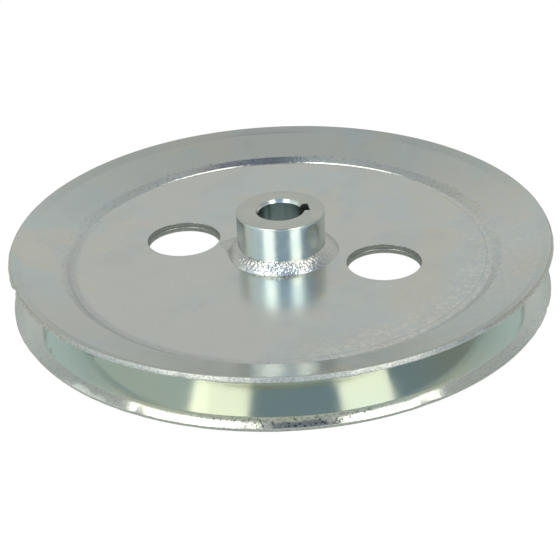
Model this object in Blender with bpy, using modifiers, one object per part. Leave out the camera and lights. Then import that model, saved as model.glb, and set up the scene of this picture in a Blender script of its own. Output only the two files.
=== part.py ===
"""V-belt pulley: two pressed steel discs back to back on a keyed hub, held by a fillet weld on each side.

Metres, +Z up along the shaft axis. The origin is on the axis, in the plane of the lower rim.
"""

import math

import bpy
from mathutils import Matrix, Vector

# Driving dimensions
RIM_RADIUS = 0.0915
RIM_TO_RIM = 0.0190  # overall height over the two rims
SHEET = 0.0016
GAP = 0.0003  # clearance between pieces that touch

HUB_RADIUS = 0.0150
HUB_ABOVE_RIM = 0.0076
HUB_FOOT = 0.0012  # how far the hub's lower end stops short of the lower rim
HUB_CHAMFER = 0.0008
BORE_RADIUS = 0.0075
BORE_CHAMFER = 0.0010
KEYWAY_WIDTH = 0.0050
KEYWAY_DEPTH = 0.0098  # from the axis to the bottom of the keyway
KEYWAY_TURN = math.radians(9.5)

HOLE_RADIUS = 0.0125
HOLE_CENTRE_RADIUS = 0.0360
HOLE_TURN = math.radians(-17.5)
HOLE_COUNT = 2

# Section of one disc, as corners of the sheet's middle line before they are rounded
BEND_FOOT_RADIUS = 0.0718
BEND_HEAD_RADIUS = 0.0748
BEND_RISE = 0.0017
FLANGE_SLOPE = 0.325  # 18 degrees, half of a 36 degree groove
CREASE_RADIUS = 0.0878
LIP_ANGLE = math.radians(30.0)
BEND_ROUNDING = 0.0020
CREASE_ROUNDING = 0.0040

BEAD_LEG = 0.0036  # along the web
BEAD_HEIGHT = 0.0038  # up the hub
BEAD_CROWN = 0.0003  # how far the bead's face stands proud of a straight fillet

DISC_STEPS = 72
HUB_STEPS = 48
ARC_POINTS = 4
SHARP_EDGE = math.radians(25.0)

MID_PLANE = RIM_TO_RIM / 2
WEB_MIDDLE = GAP / 2 + SHEET / 2
WEB_FACE = GAP / 2 + SHEET

PULLEY = bpy.data.collections.new("v_belt_pulley")
CUTTERS = bpy.data.collections.new("cutters")


def clear_scene():
    for obj in list(bpy.data.objects):
        bpy.data.objects.remove(obj)


def make_material(name, colour, roughness, metallic=1.0):
    material = bpy.data.materials.new(name)
    material.use_nodes = True
    shader = material.node_tree.nodes["Principled BSDF"]
    shader.inputs["Base Color"].default_value = (*colour, 1.0)
    shader.inputs["Roughness"].default_value = roughness
    shader.inputs["Metallic"].default_value = metallic
    return material


def rounded_path(corners, roundings):
    """An (r, z) path with each inner corner replaced by an arc, as (point, direction) pairs."""
    points = [Vector(corner) for corner in corners]
    path = [(points[0], (points[1] - points[0]).normalized())]
    for before, corner, after, rounding in zip(points, points[1:], points[2:], roundings):
        way_in = (corner - before).normalized()
        way_out = (after - corner).normalized()
        turn = -way_in.angle_signed(way_out)
        reach = rounding * math.tan(abs(turn) / 2)
        inward = left_of(way_in) * math.copysign(1, turn)
        centre = corner - way_in * reach + inward * rounding
        for i in range(ARC_POINTS):
            angle = turn * i / (ARC_POINTS - 1)
            point = centre - turned(inward, angle) * rounding
            path.append((point, turned(way_in, angle)))
    path.append((points[-1], (points[-1] - points[-2]).normalized()))
    return path


def turned(vector, angle):
    """A 2D vector turned anticlockwise."""
    return Matrix.Rotation(angle, 2) @ vector


def left_of(way):
    return Vector((-way.y, way.x))


def sheet_outline(path, thickness):
    """The closed outline of a sheet along a path: out along its upper side, then back along its lower side."""
    half = thickness / 2
    upper = [point + left_of(way) * half for point, way in path]
    lower = [point - left_of(way) * half for point, way in path]
    return upper + lower[::-1]


def turned_piece(name, outline, steps, material):
    """A closed (r, z) outline, clockwise in the XZ plane, turned about Z."""
    mesh = bpy.data.meshes.new(name)
    vertices = [(r, 0.0, z) for r, z in outline]
    edges = [(i, (i + 1) % len(vertices)) for i in range(len(vertices))]
    mesh.from_pydata(vertices, edges, [])
    mesh.materials.append(material)
    obj = bpy.data.objects.new(name, mesh)
    PULLEY.objects.link(obj)
    screw = obj.modifiers.new("Turn", "SCREW")
    screw.angle = math.tau
    screw.steps = steps
    screw.render_steps = steps
    screw.use_merge_vertices = False
    return obj


def cut(obj, cutter):
    boolean = obj.modifiers.new("Cut " + cutter.name, "BOOLEAN")
    boolean.operation = "DIFFERENCE"
    boolean.solver = "EXACT"
    boolean.object = cutter


def settle(obj):
    """Turns the modifiers' result into the object's own mesh, smooth except over its sharp edges."""
    bpy.context.view_layer.update()
    graph = bpy.context.evaluated_depsgraph_get()
    mesh = bpy.data.meshes.new_from_object(obj.evaluated_get(graph))
    mesh.name = obj.name
    obj.modifiers.clear()
    obj.data = mesh
    mesh.shade_smooth()
    mesh.set_sharp_from_angle(angle=SHARP_EDGE)


def as_cutter(obj, name):
    obj.name = name
    obj.hide_render = True
    obj.display_type = "WIRE"
    for collection in list(obj.users_collection):
        collection.objects.unlink(obj)
    CUTTERS.objects.link(obj)
    return obj


def on_circle(radius, angle, z):
    return Vector((radius * math.cos(angle), radius * math.sin(angle), z))


def make_hole_cutters():
    cutters = []
    for i in range(HOLE_COUNT):
        angle = HOLE_TURN + math.tau * i / HOLE_COUNT
        bpy.ops.mesh.primitive_cylinder_add(
            vertices=HUB_STEPS,
            radius=HOLE_RADIUS,
            depth=RIM_TO_RIM,
            location=on_circle(HOLE_CENTRE_RADIUS, angle, MID_PLANE),
        )
        cutters.append(as_cutter(bpy.context.object, f"web_hole_cutter_{i + 1}"))
    return cutters


def make_keyway_cutter():
    """A box from the axis to the bottom of the keyway, longer than the hub."""
    bpy.ops.mesh.primitive_cube_add(size=1.0)
    cutter = as_cutter(bpy.context.object, "keyway_cutter")
    cutter.scale = (KEYWAY_DEPTH, KEYWAY_WIDTH, 2 * (RIM_TO_RIM + HUB_ABOVE_RIM))
    cutter.rotation_euler.z = KEYWAY_TURN
    cutter.location = on_circle(KEYWAY_DEPTH / 2, KEYWAY_TURN, MID_PLANE)
    return cutter


def disc_outline():
    """The upper disc's section, with z measured from the middle of the groove."""
    bend_head = WEB_MIDDLE + BEND_RISE
    crease = bend_head + (CREASE_RADIUS - BEND_HEAD_RADIUS) * FLANGE_SLOPE
    rim_middle = MID_PLANE - SHEET / 2 * math.cos(LIP_ANGLE)
    rim_radius = RIM_RADIUS - SHEET / 2 * math.sin(LIP_ANGLE)
    corners = [
        (HUB_RADIUS + GAP, WEB_MIDDLE),
        (BEND_FOOT_RADIUS, WEB_MIDDLE),
        (BEND_HEAD_RADIUS, bend_head),
        (CREASE_RADIUS, crease),
        (rim_radius, rim_middle),
    ]
    path = rounded_path(corners, [BEND_ROUNDING, BEND_ROUNDING, CREASE_ROUNDING])
    return sheet_outline(path, SHEET)


def make_disc(name, side, material, cutters):
    """side is 1 for the upper disc and -1 for the lower one, which is the same pressing turned over."""
    outline = [(r, MID_PLANE + side * z) for r, z in disc_outline()]
    disc = turned_piece(name, outline[::side], DISC_STEPS, material)
    for cutter in cutters:
        cut(disc, cutter)
    settle(disc)


def make_hub(material, keyway):
    top = RIM_TO_RIM + HUB_ABOVE_RIM
    outline = [
        (BORE_RADIUS, top - BORE_CHAMFER),
        (BORE_RADIUS + BORE_CHAMFER, top),
        (HUB_RADIUS - HUB_CHAMFER, top),
        (HUB_RADIUS, top - HUB_CHAMFER),
        (HUB_RADIUS, HUB_FOOT + HUB_CHAMFER),
        (HUB_RADIUS - HUB_CHAMFER, HUB_FOOT),
        (BORE_RADIUS + BORE_CHAMFER, HUB_FOOT),
        (BORE_RADIUS, HUB_FOOT + BORE_CHAMFER),
    ]
    hub = turned_piece("hub", outline, HUB_STEPS, material)
    cut(hub, keyway)
    settle(hub)


def bead_outline():
    """The upper bead's section, with z measured from the middle of the groove."""
    foot = Vector((HUB_RADIUS + GAP, WEB_FACE + GAP))
    head = foot + Vector((0, BEAD_HEIGHT))
    toe = foot + Vector((BEAD_LEG, 0))
    away = Vector((BEAD_HEIGHT, BEAD_LEG)).normalized()
    face = []
    for i in range(1, ARC_POINTS):
        share = i / ARC_POINTS
        face.append(head.lerp(toe, share) + away * BEAD_CROWN * math.sin(math.pi * share))
    return [foot, head, *face, toe]


def make_bead(name, side, material):
    """side is 1 for the bead on the upper web and -1 for the one on the lower web."""
    outline = [(r, MID_PLANE + side * z) for r, z in bead_outline()]
    bead = turned_piece(name, outline[::side], HUB_STEPS, material)
    settle(bead)


def main():
    clear_scene()
    bpy.context.scene.collection.children.link(PULLEY)
    bpy.context.scene.collection.children.link(CUTTERS)
    zinc = make_material("zinc_plated_sheet", (0.62, 0.66, 0.64), 0.28)
    turned_zinc = make_material("zinc_plated_hub", (0.66, 0.70, 0.69), 0.22)
    weld = make_material("zinc_plated_weld", (0.60, 0.62, 0.60), 0.35)
    hole_cutters = make_hole_cutters()
    make_disc("upper_disc", 1, zinc, hole_cutters)
    make_disc("lower_disc", -1, zinc, hole_cutters)
    make_hub(turned_zinc, make_keyway_cutter())
    make_bead("upper_weld_bead", 1, weld)
    make_bead("lower_weld_bead", -1, weld)


main()
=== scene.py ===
"""Looks of the V-belt pulley: pressed, zinc-plated discs, a turned hub and two hand-laid weld beads.

Metres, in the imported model's frame: +Z along the shaft axis, the origin in the plane of the lower rim.
"""

import math

import bmesh
import bpy
from mathutils import Matrix, Vector, noise


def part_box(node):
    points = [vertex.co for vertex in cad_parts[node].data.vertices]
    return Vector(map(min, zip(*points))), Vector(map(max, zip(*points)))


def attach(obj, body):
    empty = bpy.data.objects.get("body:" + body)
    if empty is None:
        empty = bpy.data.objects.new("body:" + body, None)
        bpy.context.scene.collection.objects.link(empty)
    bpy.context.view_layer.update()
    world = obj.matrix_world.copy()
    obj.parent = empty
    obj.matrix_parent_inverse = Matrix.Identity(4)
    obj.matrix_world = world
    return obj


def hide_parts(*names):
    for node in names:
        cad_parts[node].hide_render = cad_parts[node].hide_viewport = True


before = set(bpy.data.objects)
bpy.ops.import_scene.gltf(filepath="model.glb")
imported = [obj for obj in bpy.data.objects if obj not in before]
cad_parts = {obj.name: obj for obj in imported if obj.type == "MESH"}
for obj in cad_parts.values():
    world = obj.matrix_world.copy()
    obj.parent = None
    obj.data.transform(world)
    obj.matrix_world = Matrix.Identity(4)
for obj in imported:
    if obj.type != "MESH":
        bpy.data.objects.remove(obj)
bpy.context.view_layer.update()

MM = 0.001

# Read from the frame
UPPER_LOW, UPPER_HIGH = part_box("upper_disc")
LOWER_LOW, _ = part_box("lower_disc")
HUB_LOW, HUB_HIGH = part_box("hub")
RIM_RADIUS = UPPER_HIGH.x
RIM_TOP = UPPER_HIGH.z
MID_PLANE = (RIM_TOP + LOWER_LOW.z) / 2
JOINT_FACE = UPPER_LOW.z - MID_PLANE
HUB_RADIUS = HUB_HIGH.x
HUB_TOP = HUB_HIGH.z
HUB_FOOT = HUB_LOW.z

# Section of a disc, with z measured from the middle of the groove
SHEET = 1.6 * MM
WEB_FACE = JOINT_FACE + SHEET
SEAM = 0.05 * MM  # half the seam that shows between the two webs, which is finer than the gap in the CAD
ON_JOINT_FACE = 0.0015 * MM  # how near to the joint face a point counts as on it
BEND_FOOT_RADIUS = 72.0 * MM
BEND_KNEE_RADIUS = 72.6 * MM  # where the steep foot of the bend ends
BEND_KNEE_RISE = 0.44 * MM
BEND_HEAD_RADIUS = 74.8 * MM
BEND_RISE = 1.75 * MM
FLANGE_SLOPE = 0.325  # 18 degrees, half of a 36 degree groove
CREASE_RADIUS = 87.8 * MM
LIP_ANGLE = math.radians(29.0)
FOOT_ROUNDING = 0.85 * MM
BEND_ROUNDING = 1.2 * MM
CREASE_ROUNDING = 4.0 * MM
EDGE_ROUNDING = 0.2 * MM

# How a pressed disc strays from true
RUN_OUT = 0.25 * MM  # of the flange, in z
RUN_OUT_WAVE = 70 * MM
RAGGED = 0.12 * MM  # the unevenness of the sheared edge
RAGGED_WAVE = 3.5 * MM
RAGGED_START = 1.2 * MM  # how far in from the rim it starts
RAGGED_FADE = 1.0 * MM  # from there out to where it is in full
# Handling nicks in the rims, as (turn in degrees, width, depth)
UPPER_NICKS = [(201.5, 1.4 * MM, 0.8 * MM), (252.0, 1.2 * MM, 0.4 * MM), (310.0, 1.0 * MM, 0.3 * MM)]
LOWER_NICKS = [(242.0, 2.2 * MM, 0.25 * MM), (342.0, 1.2 * MM, 0.3 * MM), (299.0, 2.5 * MM, 0.2 * MM)]

HOLE_RADIUS = 12.5 * MM
HOLE_CENTRE_RADIUS = 36.0 * MM
HOLE_TURNS = (math.radians(-17.5), math.radians(162.5))
HOLE_ROLLOVER = 0.2 * MM
HOLE_FLARE = 0.2 * MM  # how much wider a hole is at the seam between the webs
HOLE_FLARE_RISE = 0.25 * MM

BORE_RADIUS = 7.5 * MM
BORE_CHAMFER = 1.0 * MM
BORE_CHAMFER_WIDTH = 0.8 * MM
HUB_EDGE = 0.6 * MM
KEYWAY_WIDTH = 5.0 * MM
KEYWAY_DEPTH = 9.8 * MM
KEYWAY_TURN = math.radians(9.5)

BEAD_LEG = 3.5 * MM
BEAD_HEIGHT = 3.5 * MM
BEAD_CROWN = 0.3 * MM
BEAD_HOLLOW = 0.95  # the power by which the face falls from the hub to the toe, straight at 1
BEAD_SUNK = 0.06 * MM  # how far the bead's back reaches into the hub and the web
# The waves in a bead's leg and height
SWAY_WAVE = 9 * MM
LEG_SWAY = 0.9 * MM
HEIGHT_SWAY = 0.6 * MM
# The ripples and the grain on its face
RIPPLE_PITCH = 1.3 * MM  # along the bead
RIPPLE_HEIGHT = 0.03 * MM
RIPPLE_CURVE = 1.5  # how far a ripple's ends trail its middle, in pitches
GRAIN_HEIGHT = 0.36 * MM
GRAINS = [(0.7 * MM, 0.4), (0.33 * MM, 0.35)]  # as (size, share)
RELIEF_AT_EDGES = 0.12  # the angle whose sine is the share of both that is left at the hub and the toe
RELIEF_SLANT = 0.7  # the share of both in r and in z, since they stand square to a slanting face
# The share of the grain all round, and how much more there is at the roughest turn
ROUGH = 0.15
ROUGHER = 0.75
ROUGHEST_TURN = math.radians(-95.0)
ROUGH_WIDTH = 0.9  # in radians, as are the turns and widths below
# Where a bead starts and stops, with a tail on the web
START_TURN = math.radians(165.0)
TAIL_WIDTH = 0.17
TAIL_HEIGHT = 0.9 * MM
TAIL_HOLLOW = 1.2  # added to BEAD_HOLLOW
TAIL_PEAK = 1.5  # the power that shifts the tail's peak towards the toe
# Where a bead is broader and higher than elsewhere, as (turn, width, by how much)
BROADER = [(START_TURN, TAIL_WIDTH, 3.6 * MM), (0.3, 0.7, 0.8 * MM)]
HIGHER = [(START_TURN + 0.25, 0.3, 0.5 * MM), (0.8, 0.7, 0.6 * MM)]

# Materials of a disc
DISHED, SHEARED, GROOVE = range(3)

DISC_STEPS = 480
PLUG_STEPS = 96
HUB_STEPS = 240
BEAD_STEPS = 720
BEAD_POINTS = 22


# ---------------------------------------------------------------- outlines


def left_of(way):
    return Vector((-way.y, way.x))


def divided(start, end, spacing):
    """Points from start up to but not including end."""
    count = max(1, round((end - start).length / spacing))
    return [start.lerp(end, i / count) for i in range(count)]


def rounded_path(corners, roundings, arc_points=10, spacing=2.5 * MM):
    """An (r, z) path with rounded inner corners and divided straight runs, as (point, direction) pairs."""
    points = [Vector(corner) for corner in corners]
    path = []
    start = points[0]
    for before, corner, after, rounding in zip(points, points[1:], points[2:], roundings):
        way_in = (corner - before).normalized()
        way_out = (after - corner).normalized()
        turn = -way_in.angle_signed(way_out)
        reach = rounding * math.tan(abs(turn) / 2)
        inward = left_of(way_in) * math.copysign(1, turn)
        centre = corner - way_in * reach + inward * rounding
        path += [(point, way_in) for point in divided(start, corner - way_in * reach, spacing)]
        for i in range(arc_points):
            spin = Matrix.Rotation(turn * i / arc_points, 2)
            path.append((centre - (spin @ inward) * rounding, spin @ way_in))
        start = corner + way_out * reach
    last_way = (points[-1] - start).normalized()
    path += [(point, last_way) for point in divided(start, points[-1], spacing)]
    path.append((points[-1], last_way))
    return path


def quarter(centre, first, second, radius, count=5):
    """An arc of 90 degrees from centre + first to centre + second."""
    points = []
    for i in range(count):
        angle = math.pi / 2 * i / (count - 1)
        points.append(centre + (first * math.cos(angle) + second * math.sin(angle)) * radius)
    return points


def disc_outline():
    """The upper disc's closed section, and the material of each of its edges.

    It runs out along the dished face and back along the groove. z is measured from the middle of the groove.
    """
    middle = JOINT_FACE + SHEET / 2
    bend_head = middle + BEND_RISE
    crease = bend_head + (CREASE_RADIUS - BEND_HEAD_RADIUS) * FLANGE_SLOPE
    rim = RIM_TOP - MID_PLANE
    corners = [
        (HUB_RADIUS + SEAM, middle),
        (BEND_FOOT_RADIUS, middle),
        (BEND_KNEE_RADIUS, middle + BEND_KNEE_RISE),
        (BEND_HEAD_RADIUS, bend_head),
        (CREASE_RADIUS, crease),
        (RIM_RADIUS - SHEET / 2 * math.sin(LIP_ANGLE), rim - SHEET / 2 * math.cos(LIP_ANGLE)),
    ]
    path = rounded_path(corners, [FOOT_ROUNDING, FOOT_ROUNDING, BEND_ROUNDING, CREASE_ROUNDING])
    half = SHEET / 2
    dished = [point + left_of(way) * half for point, way in path]
    groove = [point - left_of(way) * half for point, way in path]
    for point in groove:
        if point.y < JOINT_FACE + ON_JOINT_FACE:
            point.y = SEAM
    end, way = path[-1]
    across = left_of(way)
    inset = (half - EDGE_ROUNDING) * across
    upper_corner = quarter(end - way * EDGE_ROUNDING + inset, across, way, EDGE_ROUNDING)
    lower_corner = quarter(end - way * EDGE_ROUNDING - inset, way, -across, EDGE_ROUNDING)
    sheared = upper_corner + lower_corner
    outline = dished[:-1] + sheared + groove[-2::-1]
    slots = [DISHED] * (len(dished) - 1) + [SHEARED] * (len(sheared) - 1) + [GROOVE] * len(groove)
    return outline, slots


# ---------------------------------------------------------------- meshes


def ring_mesh(name, section, steps, slots=None, upside_down=False):
    """A closed ring round Z. section(angle) gives its (r, z) outline at an angle, clockwise.

    slots holds the material of each edge of the outline. upside_down mirrors the ring in z = 0.
    """
    flip = -1 if upside_down else 1
    vertices = []
    for step in range(steps):
        angle = math.tau * step / steps
        outline = section(angle)
        for r, z in outline:
            vertices.append((r * math.cos(angle), r * math.sin(angle), flip * z))
    count = len(outline)
    faces = []
    for step in range(steps):
        here, there = step * count, (step + 1) % steps * count
        for i in range(count):
            j = (i + 1) % count
            faces.append((here + i, here + j, there + j, there + i)[::flip])
    mesh = bpy.data.meshes.new(name)
    mesh.from_pydata(vertices, [], faces)
    mesh.polygons.foreach_set("material_index", (slots or [0] * count) * steps)
    return mesh


def plug_mesh(outline, steps, upside_down=False):
    """A solid turned about Z from an outline that starts and ends on the axis, all of it sheared."""
    mesh = ring_mesh("plug", lambda angle: outline, steps, upside_down=upside_down)
    shape = bmesh.new()
    shape.from_mesh(mesh)
    bmesh.ops.remove_doubles(shape, verts=shape.verts, dist=1e-7)
    bmesh.ops.dissolve_degenerate(shape, edges=shape.edges, dist=1e-8)
    for face in shape.faces:
        face.material_index = SHEARED
    shape.to_mesh(mesh)
    shape.free()
    return mesh


def add_object(name, mesh, materials=()):
    for material in materials:
        mesh.materials.append(material)
    obj = bpy.data.objects.new(name, mesh)
    bpy.context.scene.collection.objects.link(obj)
    return obj


def cut_away(obj, cutters):
    """Subtracts the cutters, keeps the result as the object's own mesh and removes them."""
    for cutter in cutters:
        boolean = obj.modifiers.new("cut", "BOOLEAN")
        boolean.operation = "DIFFERENCE"
        boolean.solver = "EXACT"
        boolean.object = cutter
    bpy.context.view_layer.update()
    graph = bpy.context.evaluated_depsgraph_get()
    mesh = bpy.data.meshes.new_from_object(obj.evaluated_get(graph))
    obj.modifiers.clear()
    obj.data = mesh
    for cutter in cutters:
        bpy.data.objects.remove(cutter)


def shade(obj, sharp_degrees=35.0):
    obj.data.shade_smooth()
    obj.data.set_sharp_from_angle(angle=math.radians(sharp_degrees))


def belongs(obj, node):
    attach(obj, "root")
    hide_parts(node)


# ---------------------------------------------------------------- discs


def round_noise(angle, radius, size, seed):
    """Smooth noise along a circle that closes on itself."""
    return noise.noise(Vector((radius * math.cos(angle), radius * math.sin(angle), seed)) / size)


def nick_depth(angle, nicks):
    """How deep the handling nicks bite into the rim at an angle."""
    depth = 0.0
    for turn, width, bite in nicks:
        away = math.remainder(angle - math.radians(turn), math.tau) * RIM_RADIUS / width
        depth += bite * math.exp(-away * away)
    return depth


def disc_section(outline, seed, nicks):
    """The section of a pressed disc at any angle: its outline with run-out, a ragged edge and nicks."""

    def section(angle):
        run_out = RUN_OUT * (round_noise(angle, RIM_RADIUS, RUN_OUT_WAVE, seed) - 0.5)
        ragged = RAGGED * (round_noise(angle, RIM_RADIUS, RAGGED_WAVE, seed + 0.3) - 0.5)
        inward = nick_depth(angle, nicks) - ragged
        points = []
        for r, z in outline:
            flange = max(0.0, (r - BEND_HEAD_RADIUS) / (RIM_RADIUS - BEND_HEAD_RADIUS))
            edge = min(1.0, max(0.0, (r - RIM_RADIUS + RAGGED_START) / RAGGED_FADE))
            points.append((r - edge * inward, z + run_out * flange * flange))
        return points

    return section


def hole_plug(turn, upside_down):
    """A cutter for a web hole: rolled over by the punch at the dished face, and flared at the seam."""
    rolled_radius = HOLE_RADIUS + HOLE_ROLLOVER
    flared_radius = HOLE_RADIUS + HOLE_FLARE
    centre = Vector((rolled_radius, WEB_FACE - HOLE_ROLLOVER))
    outline = [
        Vector((0, WEB_FACE + MM)),
        Vector((rolled_radius, WEB_FACE + MM)),
        *quarter(centre, Vector((0, 1)), Vector((-1, 0)), HOLE_ROLLOVER, 8),
        Vector((HOLE_RADIUS, HOLE_FLARE_RISE)),
        Vector((flared_radius, 0)),
        Vector((flared_radius, -MM)),
        Vector((0, -MM)),
    ]
    plug = add_object("plug", plug_mesh(outline, PLUG_STEPS, upside_down))
    plug.location = (HOLE_CENTRE_RADIUS * math.cos(turn), HOLE_CENTRE_RADIUS * math.sin(turn), 0)
    return plug


def make_disc(name, materials, seed, nicks, upside_down):
    outline, slots = disc_outline()
    mesh = ring_mesh(name, disc_section(outline, seed, nicks), DISC_STEPS, slots, upside_down)
    disc = add_object(name, mesh, materials)
    cut_away(disc, [hole_plug(turn, upside_down) for turn in HOLE_TURNS])
    disc.data.transform(Matrix.Translation((0, 0, MID_PLANE)))
    shade(disc)
    return disc


# ---------------------------------------------------------------- hub


def hub_outline():
    """The hub's closed section: out over the top face, down the side and in over the lower face."""

    def rounded_edge(z, up):
        """The edge of the side at a z, from the inner end of its arc to the outer one."""
        centre = Vector((HUB_RADIUS - HUB_EDGE, z - up * HUB_EDGE))
        return quarter(centre, Vector((0, up)), Vector((1, 0)), HUB_EDGE, 6)

    side_top = Vector((HUB_RADIUS, HUB_TOP - HUB_EDGE))
    side_foot = Vector((HUB_RADIUS, HUB_FOOT + HUB_EDGE))
    return [
        Vector((BORE_RADIUS, HUB_TOP - BORE_CHAMFER)),
        Vector((BORE_RADIUS + BORE_CHAMFER_WIDTH, HUB_TOP)),
        *rounded_edge(HUB_TOP, 1),
        *divided(side_top, side_foot, 2 * MM)[1:],
        *rounded_edge(HUB_FOOT, -1)[::-1],
        Vector((BORE_RADIUS + BORE_CHAMFER_WIDTH, HUB_FOOT)),
        Vector((BORE_RADIUS, HUB_FOOT + BORE_CHAMFER)),
    ]


def keyway_box():
    mesh = bpy.data.meshes.new("keyway")
    shape = bmesh.new()
    bmesh.ops.create_cube(shape, size=1.0)
    shape.to_mesh(mesh)
    shape.free()
    size = Matrix.Diagonal((KEYWAY_DEPTH, KEYWAY_WIDTH, 4 * HUB_TOP, 1))
    reach = Matrix.Translation((KEYWAY_DEPTH / 2, 0, 0))
    mesh.transform(Matrix.Rotation(KEYWAY_TURN, 4, "Z") @ reach @ size)
    return add_object("keyway", mesh)


def make_hub(materials):
    outline = hub_outline()
    hub = add_object("turned_hub", ring_mesh("turned_hub", lambda angle: outline, HUB_STEPS), materials)
    cut_away(hub, [keyway_box()])
    shade(hub, sharp_degrees=28.0)
    return hub


# ---------------------------------------------------------------- weld beads


def bump(angle, turn, width):
    """1 at an angle, falling smoothly to 0 over a width in radians."""
    away = math.remainder(angle - turn, math.tau) / width
    return math.exp(-away * away)


def bead_point(angle, share, seed):
    """(r, z above the web) on the face of the bead: share is 0 at the hub and 1 at the toe."""
    tail = bump(angle, START_TURN, TAIL_WIDTH)
    sway = round_noise(angle, HUB_RADIUS, SWAY_WAVE, seed)
    leg = BEAD_LEG + LEG_SWAY * sway + sum(more * bump(angle, *at) for *at, more in BROADER)
    height = BEAD_HEIGHT - HEIGHT_SWAY * sway + sum(more * bump(angle, *at) for *at, more in HIGHER)
    hollow = BEAD_HOLLOW + TAIL_HOLLOW * tail
    r = HUB_RADIUS + leg * share
    z = height * (1 - share) ** hollow + BEAD_CROWN * math.sin(math.pi * share)
    z += TAIL_HEIGHT * tail * math.sin(math.pi * share ** TAIL_PEAK)
    spot = Vector((r * math.cos(angle), r * math.sin(angle), seed + z))
    lift = RELIEF_SLANT * bead_relief(angle, share, spot)
    return r + lift, max(z + lift, 0.0)


def bead_relief(angle, share, spot):
    """How far the ripples and the grain stand out at a spot: curved ripples, and most grain at the front."""
    lag = RIPPLE_CURVE * (2 * share - 1) ** 2
    ripple = math.cos(math.tau * (HUB_RADIUS * angle / RIPPLE_PITCH + lag))
    rough = ROUGH + ROUGHER * bump(angle, ROUGHEST_TURN, ROUGH_WIDTH)
    grain = sum(part * noise.noise(spot / size) for size, part in GRAINS)
    body = math.sin(math.pi * min(share, 1 - share) + RELIEF_AT_EDGES)
    return body * (RIPPLE_HEIGHT * ripple + GRAIN_HEIGHT * rough * grain)


def bead_section(seed):
    """The section of a bead at any angle: its rippled face, and a back sunk into the hub and the web."""

    def section(angle):
        face = [bead_point(angle, i / (BEAD_POINTS - 1), seed) for i in range(BEAD_POINTS)]
        top = (HUB_RADIUS - BEAD_SUNK, WEB_FACE + face[0][1])
        middle = [(r, WEB_FACE + z) for r, z in face[1:-1]]
        toe = (face[-1][0], WEB_FACE - BEAD_SUNK)
        back = (HUB_RADIUS - BEAD_SUNK, WEB_FACE - BEAD_SUNK)
        return [top, *middle, toe, back]

    return section


def make_bead(name, materials, seed, upside_down):
    mesh = ring_mesh(name, bead_section(seed), BEAD_STEPS, upside_down=upside_down)
    mesh.transform(Matrix.Translation((0, 0, MID_PLANE)))
    bead = add_object(name, mesh, materials)
    shade(bead, sharp_degrees=80.0)
    return bead


# ---------------------------------------------------------------- materials


class Nodes:
    """Short names for building a node tree."""

    def __init__(self, tree):
        self.tree = tree

    def add(self, kind):
        return self.tree.nodes.new("ShaderNode" + kind)

    def coordinates(self, kind):
        return self.add("TexCoord").outputs[kind]

    def link(self, source, target):
        self.tree.links.new(source, target)

    def feed(self, value, socket):
        """Puts a number or a colour on a socket, or links another node's output to it."""
        if isinstance(value, tuple):
            socket.default_value = (*value, 1.0)
        elif isinstance(value, (int, float)):
            socket.default_value = value
        else:
            self.link(value, socket)

    def math(self, operation, first, second):
        node = self.add("Math")
        node.operation = operation
        self.feed(first, node.inputs[0])
        self.feed(second, node.inputs[1])
        return node.outputs[0]

    def plus(self, first, second):
        return self.math("ADD", first, second)

    def minus(self, first, second):
        return self.math("SUBTRACT", first, second)

    def times(self, first, second):
        return self.math("MULTIPLY", first, second)

    def remap(self, value, low, high, to_low=0.0, to_high=1.0):
        node = self.add("MapRange")
        node.interpolation_type = "SMOOTHSTEP"
        for socket, number in zip(node.inputs[1:5], (low, high, to_low, to_high)):
            socket.default_value = number
        self.link(value, node.inputs[0])
        return node.outputs[0]

    def mix(self, factor, first, second):
        node = self.add("Mix")
        node.data_type = "RGBA"
        self.link(factor, node.inputs["Factor"])
        self.feed(first, node.inputs[6])
        self.feed(second, node.inputs[7])
        return node.outputs[2]

    def ramp(self, value, stops):
        """A colour ramp over (degrees, colour) stops, for a value that is a share of 180 degrees."""
        node = self.add("ValToRGB")
        steps = node.color_ramp.elements
        steps.remove(steps[0])
        for i, (degrees, colour) in enumerate(stops):
            step = steps.new(degrees / 180) if i else steps[0]
            step.position = degrees / 180
            step.color = (*colour, 1)
        self.link(value, node.inputs[0])
        return node.outputs[0]

    def parts(self, vector):
        node = self.add("SeparateXYZ")
        self.link(vector, node.inputs[0])
        return node.outputs


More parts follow.
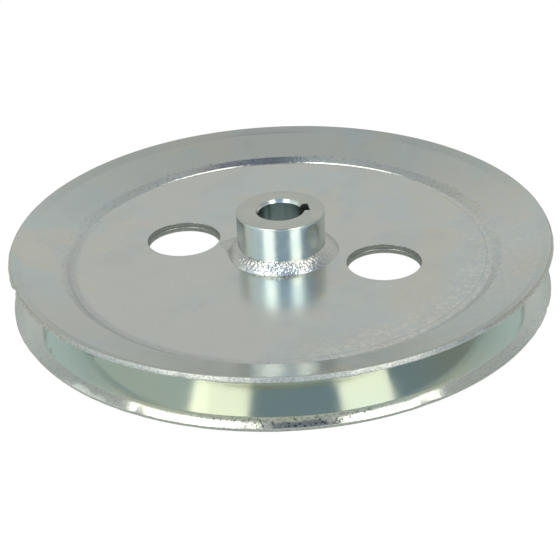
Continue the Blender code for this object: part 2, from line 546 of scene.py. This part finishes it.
class Metal(Nodes):
    """The node tree of a metal, laid out in the coordinates of the object that wears it."""

    def __init__(self, name):
        self.material = bpy.data.materials.new(name)
        self.material.use_nodes = True
        super().__init__(self.material.node_tree)
        self.shader = self.tree.nodes["Principled BSDF"]
        self.shader.inputs["Metallic"].default_value = 1.0
        self.place = self.coordinates("Object")

    def noise(self, scale, detail=2.0, roughness=0.5, place=None):
        node = self.add("TexNoise")
        node.inputs["Scale"].default_value = scale
        node.inputs["Detail"].default_value = detail
        node.inputs["Roughness"].default_value = roughness
        self.link(place or self.place, node.inputs["Vector"])
        return node.outputs["Fac"]

    def lines(self, value, scale, detail, roughness):
        """Noise that changes only with one value, for rings and tool lines."""
        node = self.add("CombineXYZ")
        self.link(value, node.inputs["X"])
        return self.noise(scale, detail, roughness, node.outputs[0])

    def distance(self, centre):
        node = self.add("VectorMath")
        node.operation = "DISTANCE"
        self.link(self.place, node.inputs[0])
        node.inputs[1].default_value = centre
        return node.outputs["Value"]

    def near(self, centre, inner, outer, most=1.0, least=0.0):
        """most within inner of a place, falling to least at outer."""
        return self.remap(self.distance(centre), inner, outer, most, least)

    def radius(self):
        """Distance from the shaft axis."""
        flat = self.add("VectorMath")
        flat.operation = "MULTIPLY"
        self.link(self.place, flat.inputs[0])
        flat.inputs[1].default_value = (1.0, 1.0, 0.0)
        length = self.add("VectorMath")
        length.operation = "LENGTH"
        self.link(flat.outputs[0], length.inputs[0])
        return length.outputs["Value"]

    def ring(self, radius, centre, inner, outer, most=1.0):
        """most within inner of a circle round the axis, falling to 0 at outer."""
        away = self.math("ABSOLUTE", self.minus(radius, centre), 0.0)
        return self.remap(away, inner, outer, most, 0.0)

    def height(self):
        return self.parts(self.place)["Z"]

    def bump(self, height, distance, strength=1.0):
        node = self.add("Bump")
        node.inputs["Strength"].default_value = strength
        node.inputs["Distance"].default_value = distance
        self.link(height, node.inputs["Height"])
        self.link(node.outputs[0], self.shader.inputs["Normal"])

    def finish(self, colour, roughness):
        self.link(colour, self.shader.inputs["Base Color"])
        self.link(roughness, self.shader.inputs["Roughness"])
        return self.material


# Colours of the plate on the dished face, and of what lies on it
ZINC_GREY = (0.70, 0.725, 0.70)
ZINC_BLUE = (0.655, 0.73, 0.735)
ZINC_STRAW = (0.735, 0.73, 0.66)
PALE_CRYSTAL = (0.82, 0.825, 0.75)
STRAW_CRYSTAL = (0.76, 0.74, 0.61)
SMUDGE = (0.62, 0.645, 0.635)
SPECK = (0.36, 0.38, 0.37)
# Painted shade: a fine dark line at the foot of the bend
CREASE_SHADE_LINE = (0.36, 0.38, 0.39)
# Painted shade: the soft dark band beside the bend, on the left
PAINTED_BEND_SHADE = (0.57, 0.605, 0.60)
SCUFF = (0.50, 0.51, 0.53)

# Colours of the groove side, the sheared edges, the hub and the welds
GROOVE_STRAW = (0.72, 0.73, 0.655)
GROOVE_GREY = (0.69, 0.725, 0.69)
GROOVE_SIDES = (0.68, 0.735, 0.705)
GROOVE_BACK = (0.70, 0.71, 0.69)
LIP_PIT = (0.14, 0.15, 0.18)
SHEARED_DARK = (0.41, 0.405, 0.36)
SHEARED_BRIGHT = (0.61, 0.60, 0.53)
# Painted shade for the walls of the web holes
HOLE_SHADE = (0.16, 0.165, 0.14)
HUB_GREEN = (0.60, 0.64, 0.595)
HUB_GREY = (0.64, 0.67, 0.62)
# Painted light: the bore wall's paler colour stands in for light bounced into the bore
PAINTED_BORE_LIGHT = (0.76, 0.81, 0.80)
WELD_PLATE = (0.68, 0.69, 0.66)
WELD_PIT = (0.14, 0.15, 0.17)

# Centres of the spots on the dished face, and radii of the rings on it
CRYSTAL_SPOT = (55 * MM, -40 * MM, 12 * MM)
STRAW_SPOT = (70 * MM, 30 * MM, 14 * MM)
CREASE_SHADE_SPOT = (55 * MM, -25 * MM, 12 * MM)
PAINTED_SHADE_SPOT = (-60 * MM, -40 * MM, 12 * MM)
CREASE_SHADE_RADIUS = 69.6 * MM  # a fine dark ring of painted shade just inside the foot of the bend
PAINTED_SHADE_RADIUS = 71.4 * MM
BURNISH_RADIUS = 72.6 * MM

# Fronts of the groove, of its lower lip and of the beads, which look different from the rest
GROOVE_FRONT = (5 * MM, -RIM_RADIUS, MID_PLANE)
PITTED_LIP = (3 * MM, -RIM_RADIUS, 0)
WORN_LIP = (0, -RIM_RADIUS, 0)
BEAD_FRONT = (0, -19 * MM, MID_PLANE)


def plated_colour(metal):
    """Zinc plate's passivation: wide drifts of blue and straw over grey."""
    blue = metal.remap(metal.noise(26, 2.0), 0.46, 0.62)
    straw = metal.remap(metal.noise(31, 2.5), 0.54, 0.68, 0.0, 0.8)
    return metal.mix(straw, metal.mix(blue, ZINC_GREY, ZINC_BLUE), ZINC_STRAW)


def add_crystals(metal, colour, radius):
    """Coarse crystals: pale ones on the outer part of the web, and straw ones on the flange at the right."""
    inner = metal.remap(radius, 56 * MM, 66 * MM)
    outer = metal.remap(radius, 70 * MM, 78 * MM, 1.0, 0.4)
    pale = metal.times(metal.times(inner, outer), metal.near(CRYSTAL_SPOT, 35 * MM, 65 * MM, 1.0, 0.1))
    crystals = metal.remap(metal.noise(560, 3.0, 0.65), 0.47, 0.63, 0.0, 0.9)
    colour = metal.mix(metal.times(pale, crystals), colour, PALE_CRYSTAL)
    straw = metal.near(STRAW_SPOT, 10 * MM, 35 * MM, 0.7)
    return metal.mix(metal.times(straw, crystals), colour, STRAW_CRYSTAL)


def add_wear(metal, colour, radius, burnished):
    """Smudges, specks, a fine dark line of painted shade inside the bend's foot, a band of painted shade
    beside the bend, and scuffs on the burnished bend.
    """
    smudges = metal.remap(metal.noise(48, 5.0, 0.65), 0.50, 0.68, 0.0, 0.35)
    colour = metal.mix(smudges, colour, SMUDGE)
    specks = metal.remap(metal.noise(1300, 3.0, 0.7), 0.28, 0.37, 0.45, 0.0)
    colour = metal.mix(specks, colour, SPECK)
    # Painted shade: a fine dark ring just inside the bend's foot, on the front right
    crease_shade = metal.ring(radius, CREASE_SHADE_RADIUS, 0.08 * MM, 0.35 * MM, 0.28)
    crease_shade = metal.times(crease_shade, metal.near(CREASE_SHADE_SPOT, 55 * MM, 80 * MM))
    colour = metal.mix(crease_shade, colour, CREASE_SHADE_LINE)
    # Painted shade: a soft dark band round the bend's foot, on the left and front left only
    painted_shade = metal.ring(radius, PAINTED_SHADE_RADIUS, 0.6 * MM, 2.6 * MM, 0.8)
    painted_shade = metal.times(painted_shade, metal.near(PAINTED_SHADE_SPOT, 45 * MM, 70 * MM))
    colour = metal.mix(painted_shade, colour, PAINTED_BEND_SHADE)
    scuffs = metal.remap(metal.noise(700, 3.0, 0.7), 0.52, 0.66, 0.0, 0.6)
    return metal.mix(metal.times(scuffs, burnished), colour, SCUFF)


def sheet_material():
    """The dished side of a disc: satin plate, drawn in rings on the flange and burnished round the bend."""
    metal = Metal("plated_sheet")
    radius = metal.radius()
    burnished = metal.ring(radius, BURNISH_RADIUS, 2.2 * MM, 3.2 * MM)
    drawn = metal.remap(radius, BEND_FOOT_RADIUS - 3 * MM, BEND_HEAD_RADIUS, 0.1, 0.8)
    colour = add_crystals(metal, plated_colour(metal), radius)
    colour = add_wear(metal, colour, radius, burnished)
    grain = metal.noise(2600, 2.0, 0.6)
    rings = metal.times(metal.lines(radius, 900, 2.0, 0.6), drawn)
    waves = metal.times(metal.noise(60, 2.0), 1.3)
    scuffs = metal.times(metal.noise(900, 3.0, 0.7), metal.times(burnished, 12.0))
    metal.bump(metal.plus(metal.plus(metal.plus(grain, rings), waves), scuffs), 0.004 * MM)
    satin = metal.remap(metal.noise(90, 3.0), 0.3, 0.7, 0.19, 0.25)
    satin = metal.minus(satin, metal.times(drawn, 0.07))
    return metal.finish(colour, metal.minus(satin, metal.times(burnished, 0.10)))


def groove_material():
    """The groove side: burnished by the press tool, so nearly a mirror, with fine rings and a pitted lip."""
    metal = Metal("plated_groove")
    drifts = metal.remap(metal.noise(30, 2.0), 0.50, 0.72)
    colour = metal.mix(drifts, GROOVE_STRAW, GROOVE_GREY)
    from_front = metal.distance(GROOVE_FRONT)
    colour = metal.mix(metal.remap(from_front, 50 * MM, 85 * MM), colour, GROOVE_SIDES)
    colour = metal.mix(metal.remap(from_front, 125 * MM, 160 * MM), colour, GROOVE_BACK)
    lip = metal.remap(metal.radius(), CREASE_RADIUS - 0.5 * MM, CREASE_RADIUS + 1.5 * MM)
    pits = metal.remap(metal.noise(1100, 3.0, 0.7), 0.38, 0.48, 0.95, 0.0)
    pitted = metal.times(lip, metal.near(PITTED_LIP, 20 * MM, 34 * MM, 1.0, 0.2))
    colour = metal.mix(metal.times(pits, pitted), colour, LIP_PIT)
    rings = metal.lines(metal.height(), 1400, 3.0, 0.6)
    waves = metal.times(metal.noise(70, 2.0), 6.0)
    worn = metal.times(lip, metal.near(WORN_LIP, 30 * MM, 80 * MM, 1.0, 0.1))
    dents = metal.times(metal.times(metal.noise(700, 3.0, 0.6), worn), 16.0)
    metal.bump(metal.plus(metal.plus(rings, waves), dents), 0.0015 * MM)
    mirror = metal.remap(metal.noise(110, 3.0), 0.35, 0.65, 0.06, 0.10)
    return metal.finish(colour, metal.plus(mirror, metal.times(lip, 0.06)))


def sheared_material():
    """The punched and sheared edges: duller than the faces, and darkened with painted shade on the walls of
    the web holes.
    """
    metal = Metal("sheared_edge")
    pits = metal.noise(1500, 3.0, 0.7)
    colour = metal.mix(metal.remap(pits, 0.35, 0.6), SHEARED_DARK, SHEARED_BRIGHT)
    # Painted shade: the hole walls, within 60 mm of the axis, are darkened
    hole_shade = metal.remap(metal.radius(), 60 * MM, 70 * MM, 0.3, 0.0)
    colour = metal.mix(hole_shade, colour, HOLE_SHADE)
    metal.bump(pits, 0.06 * MM, 0.6)
    return metal.finish(colour, metal.remap(pits, 0.3, 0.7, 0.42, 0.32))


def hub_material():
    """Turned steel under the plate, with irregular tool lines on every face, and a bore painted brighter to
    stand in for light reaching into it.
    """
    metal = Metal("plated_hub")
    drifts = metal.remap(metal.noise(160, 3.0), 0.35, 0.65)
    colour = metal.mix(drifts, HUB_GREEN, HUB_GREY)
    radius = metal.radius()
    # Painted light: the bore wall is lightened, standing in for light that reaches into the bore
    bore_light = metal.remap(radius, BORE_RADIUS + 0.1 * MM, BORE_RADIUS + 0.4 * MM, 1.0, 0.0)
    colour = metal.mix(bore_light, colour, PAINTED_BORE_LIGHT)
    tool_lines = metal.lines(metal.plus(radius, metal.height()), 3500, 3.0, 0.7)
    spots = metal.times(metal.noise(900, 2.0, 0.6), 0.7)
    metal.bump(metal.plus(tool_lines, spots), 0.006 * MM)
    return metal.finish(colour, metal.remap(metal.noise(300, 3.0), 0.3, 0.7, 0.17, 0.24))


def weld_material():
    """Plated weld: bright, with dark pits that are thickest at the front."""
    metal = Metal("plated_weld")
    pits = metal.noise(1500, 3.0, 0.65)
    coarse = metal.near(BEAD_FRONT, 12 * MM, 20 * MM, 0.85, 0.15)
    dark = metal.times(coarse, metal.remap(pits, 0.37, 0.50, 1.0, 0.0))
    colour = metal.mix(dark, WELD_PLATE, WELD_PIT)
    metal.bump(metal.noise(2200, 3.0, 0.6), 0.03 * MM, 0.4)
    return metal.finish(colour, metal.remap(pits, 0.3, 0.7, 0.30, 0.20))


# ---------------------------------------------------------------- studio

CAMERA_ELEVATION = math.radians(29.24)
CAMERA_ROLL = math.radians(-1.96)
CAMERA_DISTANCE = 0.4575
AXIS_LEFT = 13.2 * MM  # where the shaft axis lies from the optical axis, in the plane of the upper rim
AXIS_ABOVE = 17.03 * MM
CAMERA_LENS = 86.68
CAMERA_SHIFT = -0.0714
CAMERA_CLIP = 10 * MM

# Soft boxes, as (name, centre, size, turns about X, Y and Z in degrees, watts per square metre, colour).
# Two lean over the pulley from the front, with the camera between them, two hang overhead and a weaker one
# fills from the left.
BOX_UNIT = 1.2  # metres, for their centres and sizes
BOX_POWER = 5.84
FILL_POWER = 1.52
CREAM = (1.0, 0.99, 0.89)
FILL_COLOUR = (0.94, 1.0, 0.94)
SOFT_BOXES = [
    ("left_front_box", (-0.522, -0.539, 1.187), (0.536, 2.04), (66.9, 0, 0), BOX_POWER, CREAM),
    ("right_front_box", (0.678, -0.539, 1.187), (0.576, 2.04), (66.9, 0, 0), BOX_POWER, CREAM),
    ("left_top_box", (-1.074, -0.121, 2.500), (1.27, 0.875), (0, 0, -21.8), BOX_POWER, CREAM),
    ("right_top_box", (1.072, -0.152, 2.500), (1.10, 0.875), (0, 0, 21.8), BOX_POWER, CREAM),
    ("left_fill_box", (-1.284, -0.392, 0.775), (1.60, 1.10), (60.0, 0, -73.0), FILL_POWER, FILL_COLOUR),
]

# The studio's walls and ceiling, as (degrees over the top from the front horizon, colour)
FRONT_WALL = [
    (0, (0.80, 0.84, 0.86)),
    (20, (0.50, 0.64, 0.80)),
    (45, (0.34, 0.48, 0.70)),
]
BACK_WALL = [
    (120, (0.44, 0.46, 0.45)),
    (150, (0.60, 0.60, 0.58)),
    (180, (0.48, 0.49, 0.47)),
]
STUDIO = [*FRONT_WALL, (75, (0.40, 0.44, 0.48)), *BACK_WALL]
# The same through the dark gap between the boxes
GAP = [
    *FRONT_WALL,
    (72, (0.27, 0.32, 0.38)),
    (80, (0.15, 0.17, 0.22)),
    (98.2, (0.15, 0.17, 0.22)),
    (99.6, (0.44, 0.45, 0.45)),
    *BACK_WALL,
]
# Where the gap starts and is full on the left, and thins out and ends on the right, in x for each unit of z
GAP_EDGES = (-0.10, -0.06, 0.26, 0.38)

FLOOR_HALF = 6.0
FLOOR_DROP = 0.05 * MM
# The floor as the pulley sees it
FLOOR_COLOUR = (0.6, 0.6, 0.59)
FLOOR_GLOW_COLOUR = (0.85, 1.0, 1.0)
FLOOR_GLOW = 0.20


def make_camera():
    cos, sin = math.cos(CAMERA_ELEVATION), math.sin(CAMERA_ELEVATION)
    level_up = Vector((0, sin, cos))
    right = Vector((1, 0, 0)) * math.cos(CAMERA_ROLL) + level_up * math.sin(CAMERA_ROLL)
    forward = Vector((0, cos, -sin))
    up = right.cross(forward)
    camera = bpy.data.objects.new("camera", bpy.data.cameras.new("camera"))
    camera.data.lens = CAMERA_LENS
    camera.data.shift_x = CAMERA_SHIFT
    camera.data.clip_start = CAMERA_CLIP
    target = Vector((0, 0, RIM_TOP))
    place = target + right * AXIS_LEFT - up * AXIS_ABOVE - forward * CAMERA_DISTANCE
    turn = Matrix((right, up, -forward)).transposed()
    camera.matrix_world = Matrix.Translation(place) @ turn.to_4x4()
    bpy.context.scene.collection.objects.link(camera)
    bpy.context.scene.camera = camera


def make_soft_boxes():
    for name, centre, size, turns, power, colour in SOFT_BOXES:
        light = bpy.data.lights.new(name, "AREA")
        light.shape = "RECTANGLE"
        light.size, light.size_y = (side * BOX_UNIT for side in size)
        light.energy = power * light.size * light.size_y
        light.color = colour
        lamp = bpy.data.objects.new(name, light)
        lamp.location = Vector(centre) * BOX_UNIT
        lamp.rotation_euler = [math.radians(turn) for turn in turns]
        bpy.context.scene.collection.objects.link(lamp)


def make_world():
    """A pale studio that is dark only in the gap overhead. The camera sees the same white as the floor."""
    world = bpy.data.worlds.new("studio")
    bpy.context.scene.world = world
    world.use_nodes = True
    nodes = Nodes(world.node_tree)
    x, y, z = nodes.parts(nodes.coordinates("Generated"))
    turn = nodes.math("DIVIDE", nodes.math("ARCTAN2", z, nodes.times(y, -1.0)), math.pi)
    across = nodes.math("DIVIDE", x, z)
    start, full, thinning, end = GAP_EDGES
    inside = nodes.minus(nodes.remap(across, start, full), nodes.remap(across, thinning, end))
    studio = nodes.mix(inside, nodes.ramp(turn, STUDIO), nodes.ramp(turn, GAP))
    to_camera = nodes.add("LightPath").outputs["Is Camera Ray"]
    seen = nodes.mix(to_camera, studio, (1.0, 1.0, 1.0))
    nodes.link(seen, nodes.tree.nodes["Background"].inputs["Color"])


def floor_material():
    """White and glowing for the eye, like a light table. The pulley sees a dimmer one."""
    material = bpy.data.materials.new("floor")
    material.use_nodes = True
    nodes = Nodes(material.node_tree)
    shader = nodes.tree.nodes["Principled BSDF"]
    shader.inputs["Base Color"].default_value = (*FLOOR_COLOUR, 1)
    shader.inputs["Roughness"].default_value = 0.9
    shader.inputs["Specular IOR Level"].default_value = 0.0
    shader.inputs["Emission Color"].default_value = (*FLOOR_GLOW_COLOUR, 1)
    shader.inputs["Emission Strength"].default_value = FLOOR_GLOW
    mix = nodes.add("MixShader")
    nodes.link(nodes.add("LightPath").outputs["Is Camera Ray"], mix.inputs[0])
    nodes.link(shader.outputs[0], mix.inputs[1])
    nodes.link(nodes.add("Emission").outputs[0], mix.inputs[2])
    nodes.link(mix.outputs[0], nodes.tree.nodes["Material Output"].inputs["Surface"])
    return material


def make_floor():
    mesh = bpy.data.meshes.new("floor")
    corners = [(-1, -1), (1, -1), (1, 1), (-1, 1)]
    mesh.from_pydata([(x * FLOOR_HALF, y * FLOOR_HALF, 0) for x, y in corners], [], [(0, 1, 2, 3)])
    floor = add_object("floor", mesh, [floor_material()])
    floor.location.z = -FLOOR_DROP


# ---------------------------------------------------------------- the pulley


def make_pulley():
    disc_materials = [sheet_material(), sheared_material(), groove_material()]
    upper = make_disc("pressed_upper_disc", disc_materials, 1.7, UPPER_NICKS, upside_down=False)
    lower = make_disc("pressed_lower_disc", disc_materials, 5.2, LOWER_NICKS, upside_down=True)
    belongs(upper, "upper_disc")
    belongs(lower, "lower_disc")
    belongs(make_hub([hub_material()]), "hub")
    weld = weld_material()
    upper_bead = make_bead("upper_bead", [weld], 3.1, upside_down=False)
    lower_bead = make_bead("lower_bead", [weld], 8.4, upside_down=True)
    belongs(upper_bead, "upper_weld_bead")
    belongs(lower_bead, "lower_weld_bead")


make_camera()
make_world()
make_soft_boxes()
make_floor()
make_pulley()
bpy.context.scene.view_settings.view_transform = "Standard"
